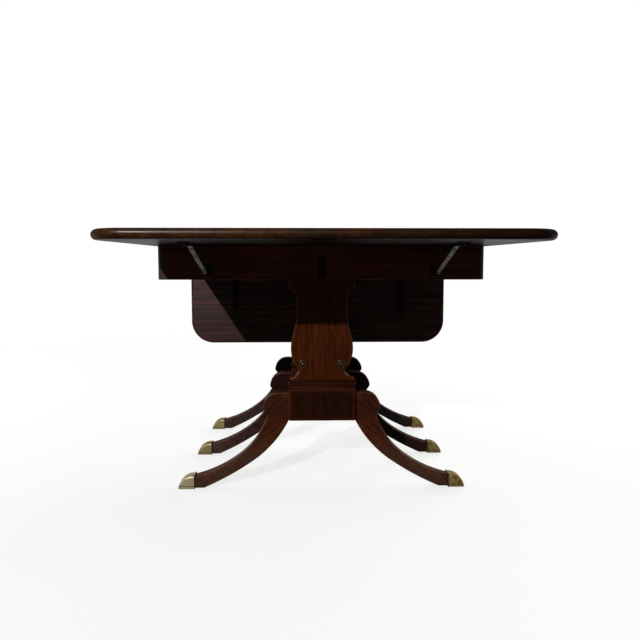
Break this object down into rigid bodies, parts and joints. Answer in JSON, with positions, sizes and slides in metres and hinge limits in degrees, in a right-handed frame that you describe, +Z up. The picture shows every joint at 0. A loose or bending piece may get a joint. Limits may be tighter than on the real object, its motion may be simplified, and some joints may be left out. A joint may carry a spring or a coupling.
{
  "type": "drop-leaf dining table",
  "caption": "Drop-leaf extending dining table on a row of vase pedestals with sabre legs and brass toe caps; hinged leaves swing on rule joints and rest on folding stays.",
  "frame": {"origin": "on the floor under the middle of the fixed top, between the feet of the middle pedestal", "axes": "+X to the right along the hinge lines, +Y to the side of the hanging leaf, +Z up"},
  "size_m": [1.04, 0.996, 0.749],
  "materials": {
    "top_wood": "french polished",
    "leaf_wood": "french polished",
    "apron_wood": "french polished",
    "pedestal_wood": "french polished",
    "leg_wood": "french polished",
    "rosette_wood": "french polished",
    "inner_wood": "bare wood",
    "cleat_wood": "bare wood",
    "toe_brass": "aged, satin",
    "hinge_iron": "dull, oxidised",
    "stay_steel": "worn bright steel",
    "bracket_iron": "black japanned"
  },
  "bodies": {
    "base": {"centre_vase": "pedestal_wood", "centre_plinth_block": "pedestal_wood", "centre_plinth_cap": "pedestal_wood", "centre_leg_left": "leg_wood", "centre_leg_right": "leg_wood", "centre_toe_caps": "toe_brass", "centre_head_block": "inner_wood", "centre_slide_rail_left": "inner_wood", "centre_slide_rail_right": "inner_wood"},
    "near_half": {"near_top": "top_wood", "near_apron": "apron_wood", "near_side_rails": "apron_wood", "near_corner_blocks": "inner_wood", "near_vase": "pedestal_wood", "near_plinth_block": "pedestal_wood", "near_plinth_cap": "pedestal_wood", "near_leg_left": "leg_wood", "near_leg_right": "leg_wood", "near_toe_caps": "toe_brass", "near_rosettes": "rosette_wood", "near_runners": "inner_wood", "near_hinge_plates": "hinge_iron", "near_hinge_pins": "hinge_iron", "near_stay_brackets": "bracket_iron", "near_stay_pins": "bracket_iron", "near_cleats": "cleat_wood", "seam_slips": "inner_wood"},
    "far_half": {"far_top": "top_wood", "far_apron": "apron_wood", "far_side_rails": "apron_wood", "far_corner_blocks": "inner_wood", "far_vase": "pedestal_wood", "far_plinth_block": "pedestal_wood", "far_plinth_cap": "pedestal_wood", "far_leg_left": "leg_wood", "far_leg_right": "leg_wood", "far_toe_caps": "toe_brass", "far_rosettes": "rosette_wood", "far_runners": "inner_wood", "far_hinge_plates": "hinge_iron", "far_hinge_pins": "hinge_iron", "far_stay_brackets": "bracket_iron", "far_stay_pins": "bracket_iron", "far_cleats": "cleat_wood"},
    "near_leaf": {"near_leaf": "leaf_wood", "near_leaf_hinge_plates": "hinge_iron", "near_stay_catches": "bracket_iron"},
    "far_leaf": {"far_leaf": "leaf_wood", "far_leaf_hinge_plates": "hinge_iron", "far_stay_catches": "bracket_iron"},
    "near_stay_left": {"near_stay_left": "stay_steel"},
    "near_stay_right": {"near_stay_right": "stay_steel"},
    "far_stay_left": {"far_stay_left": "stay_steel"},
    "far_stay_right": {"far_stay_right": "stay_steel"}
  },
  "joints": [
    {"name": "near_slide", "type": "slide", "parent": "base", "child": "near_half", "axis": [0, -1, 0], "range_m": [0, 0.153]},
    {"name": "far_slide", "type": "slide", "parent": "base", "child": "far_half", "axis": [0, 1, 0], "range_m": [0, 0.153]},
    {"name": "near_leaf_swing", "type": "hinge", "parent": "near_half", "child": "near_leaf", "pos_m": [0, -0.295, 0.727], "axis": [1, 0, 0], "range_deg": [0, 90]},
    {"name": "far_leaf_swing", "type": "hinge", "parent": "far_half", "child": "far_leaf", "pos_m": [0, 0.295, 0.727], "axis": [1, 0, 0], "range_deg": [0, 90]},
    {"name": "near_stay_left_swing", "type": "hinge", "parent": "near_half", "child": "near_stay_left", "pos_m": [-0.339, -0.283, 0.647], "axis": [1, 0, 0], "range_deg": [0, 112.16]},
    {"name": "near_stay_right_swing", "type": "hinge", "parent": "near_half", "child": "near_stay_right", "pos_m": [0.339, -0.283, 0.647], "axis": [1, 0, 0], "range_deg": [0, 112.16]},
    {"name": "far_stay_left_swing", "type": "hinge", "parent": "far_half", "child": "far_stay_left", "pos_m": [-0.339, 0.283, 0.647], "axis": [1, 0, 0], "range_deg": [0, 112.16]},
    {"name": "far_stay_right_swing", "type": "hinge", "parent": "far_half", "child": "far_stay_right", "pos_m": [0.339, 0.283, 0.647], "axis": [1, 0, 0], "range_deg": [0, 112.16]}
  ],
  "couplings": [
    {"joint": "near_stay_left_swing", "follows": "near_leaf_swing", "ratio": 1.2462},
    {"joint": "near_stay_right_swing", "follows": "near_leaf_swing", "ratio": 1.2462},
    {"joint": "far_stay_left_swing", "follows": "far_leaf_swing", "ratio": 1.2462},
    {"joint": "far_stay_right_swing", "follows": "far_leaf_swing", "ratio": 1.2462}
  ]
}
